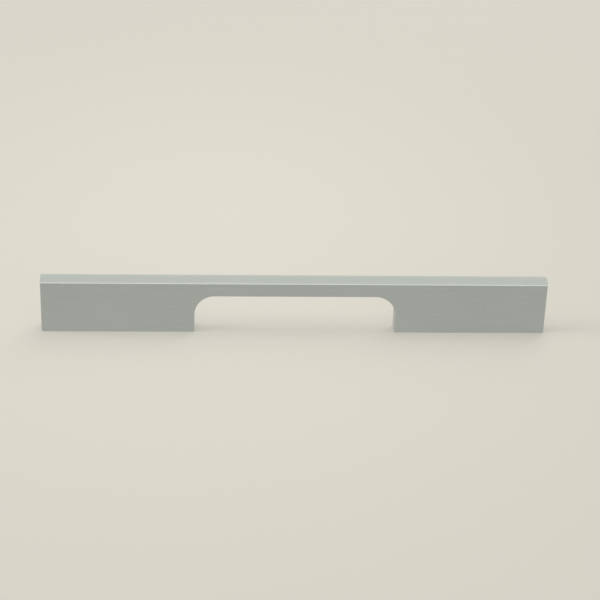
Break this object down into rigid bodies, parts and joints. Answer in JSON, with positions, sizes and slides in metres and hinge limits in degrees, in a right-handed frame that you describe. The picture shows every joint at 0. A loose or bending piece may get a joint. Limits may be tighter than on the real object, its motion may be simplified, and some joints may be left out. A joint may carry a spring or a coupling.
{
  "type": "furniture handle",
  "caption": "Long low bridge handle of crowned flat bar with two broad feet and a rounded finger opening, screwed on from behind.",
  "frame": {"origin": "middle of the plane on which the two feet stand, halfway along the handle and halfway through its thickness", "axes": "+X along the handle, -Y out of the face seen in front, +Z from the feet to the crowned top; the screws come in along +Z"},
  "size_m": [0.236, 0.008, 0.0272],
  "materials": {
    "metal": "satin"
  },
  "bodies": {
    "root": {"handle": "metal"}
  },
  "joints": []
}
